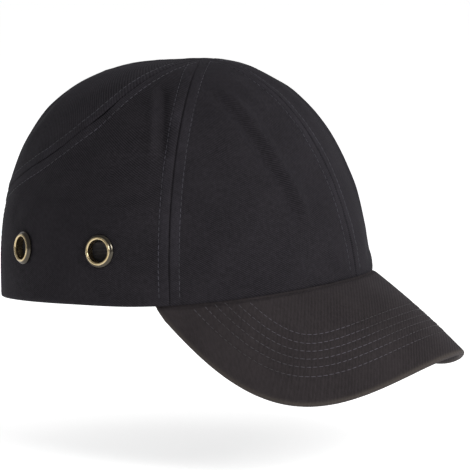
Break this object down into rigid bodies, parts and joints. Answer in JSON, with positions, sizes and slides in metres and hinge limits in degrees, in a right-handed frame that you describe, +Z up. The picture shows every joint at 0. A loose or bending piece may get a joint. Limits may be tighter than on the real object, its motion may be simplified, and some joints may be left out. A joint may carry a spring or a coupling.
{
  "type": "bump cap",
  "caption": "Peaked cotton cap with stitched crown panels, side eyelets, a rear hook-and-loop strap and a removable padded impact liner.",
  "frame": {"origin": "centre of the head opening, level with the crown's edge at the temples", "axes": "+Z up through the crown, -Y the way the cap faces, +X the wearer's left"},
  "size_m": [0.1804, 0.2651, 0.1718],
  "materials": {
    "crown_twill": "black cotton twill with a fine diagonal weave and a faint violet cast",
    "peak_twill": "black cotton twill drawn tight over the peak board, with rows of topstitching",
    "strap_twill": "black twill strap with stitched edges",
    "binding_tape": "black plain-weave tape",
    "sweatband_cotton": "black brushed cotton",
    "closure_pile": "black hook-and-loop pile",
    "antique_brass": "antique brass, worn bright on the crest",
    "washer_steel": "dull brassed steel",
    "liner_plastic": "moulded black plastic, fine grain",
    "pad_foam": "closed-cell foam with a cloth face",
    "peak_plastic": "plain sheet",
    "label_satin": "blank woven satin"
  },
  "bodies": {
    "cap": {"front_panel_right": "crown_twill", "front_panel_left": "crown_twill", "side_panel_right": "crown_twill", "side_panel_left": "crown_twill", "rear_panel_right": "crown_twill", "rear_panel_left": "crown_twill", "seam_tape_front": "binding_tape", "seam_tape_back": "binding_tape", "seam_tape_side_right": "binding_tape", "seam_tape_side_left": "binding_tape", "seam_tape_rear_right": "binding_tape", "seam_tape_rear_left": "binding_tape", "arch_binding": "binding_tape", "eyelet_front_right": "antique_brass", "eyelet_front_left": "antique_brass", "eyelet_rear_right": "antique_brass", "eyelet_rear_left": "antique_brass", "eyelet_washer_front_right": "washer_steel", "eyelet_washer_front_left": "washer_steel", "eyelet_washer_rear_right": "washer_steel", "eyelet_washer_rear_left": "washer_steel", "sweatband": "sweatband_cotton", "care_label": "label_satin", "peak_cover_top": "peak_twill", "peak_cover_bottom": "peak_twill", "peak_board": "peak_plastic", "loop_strap": "strap_twill", "hook_strap_anchor": "strap_twill", "loop_patch": "closure_pile"},
    "hook_strap": {"hook_strap": "strap_twill", "hook_patch": "closure_pile"},
    "liner": {"liner_shell": "liner_plastic", "pad_front": "pad_foam", "pad_top": "pad_foam", "pad_side_right": "pad_foam", "pad_side_left": "pad_foam", "pad_rear_right": "pad_foam", "pad_rear_left": "pad_foam"}
  },
  "joints": [
    {"name": "strap_peel", "type": "hinge", "parent": "cap", "child": "hook_strap", "pos_m": [-0.0417, 0.0965, 0.0084], "axis": [0, 0, 1], "range_deg": [0, 100]},
    {"name": "liner_removal", "type": "slide", "parent": "cap", "child": "liner", "axis": [0, 0, -1], "range_m": [0, 0.12]}
  ]
}
